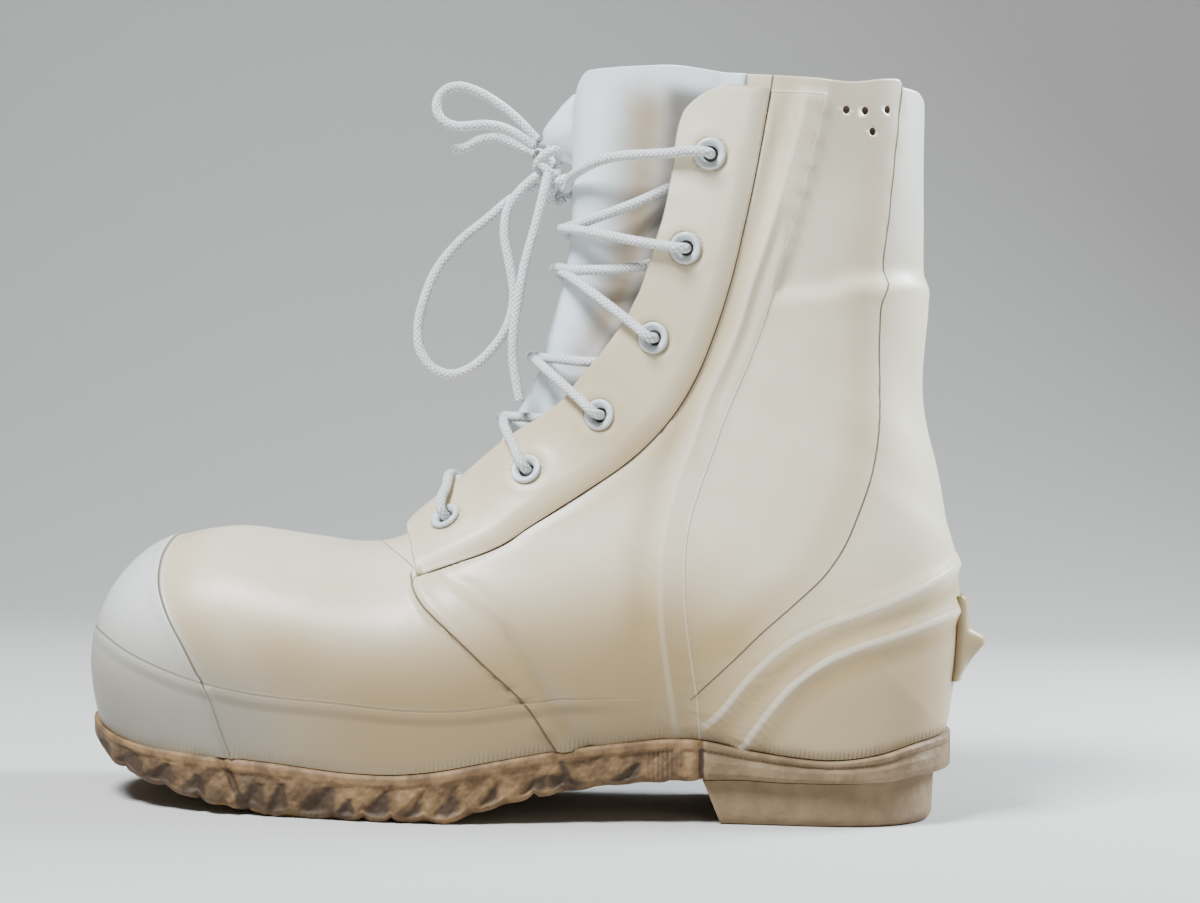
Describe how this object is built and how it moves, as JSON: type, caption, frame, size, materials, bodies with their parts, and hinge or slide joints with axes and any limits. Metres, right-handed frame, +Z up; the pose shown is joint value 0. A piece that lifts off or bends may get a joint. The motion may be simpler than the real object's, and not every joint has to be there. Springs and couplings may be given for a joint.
{
  "type": "bunny boot",
  "caption": "Left cold-weather boot of white rubber: high laced shaft, bellows tongue, bulbous toe, cleated sole, heel block and a strap ledge at the back.",
  "frame": {"origin": "on the floor, under the middle of the boot's box without its bow", "axes": "-X to the toe, +X to the heel, -Y to the outer (lateral) side, +Y to the inner (medial) side, +Z up"},
  "size_m": [0.337, 0.1248, 0.275],
  "materials": {
    "white_rubber": "satin",
    "tongue_rubber": "satin",
    "tread_rubber": "matte",
    "heel_rubber": "matte",
    "felt": "matte",
    "painted_eyelet": "satin",
    "cotton": "matte"
  },
  "bodies": {
    "root": {"upper": "white_rubber", "outsole": "tread_rubber", "heel": "heel_rubber", "insole": "felt", "tongue": "tongue_rubber", "eyestay_lateral": "white_rubber", "eyestay_medial": "white_rubber", "eyelet_lateral_1": "painted_eyelet", "eyelet_lateral_2": "painted_eyelet", "eyelet_lateral_3": "painted_eyelet", "eyelet_lateral_4": "painted_eyelet", "eyelet_lateral_5": "painted_eyelet", "eyelet_lateral_6": "painted_eyelet", "eyelet_medial_1": "painted_eyelet", "eyelet_medial_2": "painted_eyelet", "eyelet_medial_3": "painted_eyelet", "eyelet_medial_4": "painted_eyelet", "eyelet_medial_5": "painted_eyelet", "eyelet_medial_6": "painted_eyelet", "heel_lug": "white_rubber", "lace_cross_1": "cotton", "lace_cross_2": "cotton", "lace_cross_3": "cotton", "lace_cross_4": "cotton", "lace_cross_5": "cotton", "lace_knot": "cotton", "lace_loop_up": "cotton", "lace_loop_down": "cotton", "lace_end_1": "cotton", "lace_end_2": "cotton"}
  },
  "joints": []
}
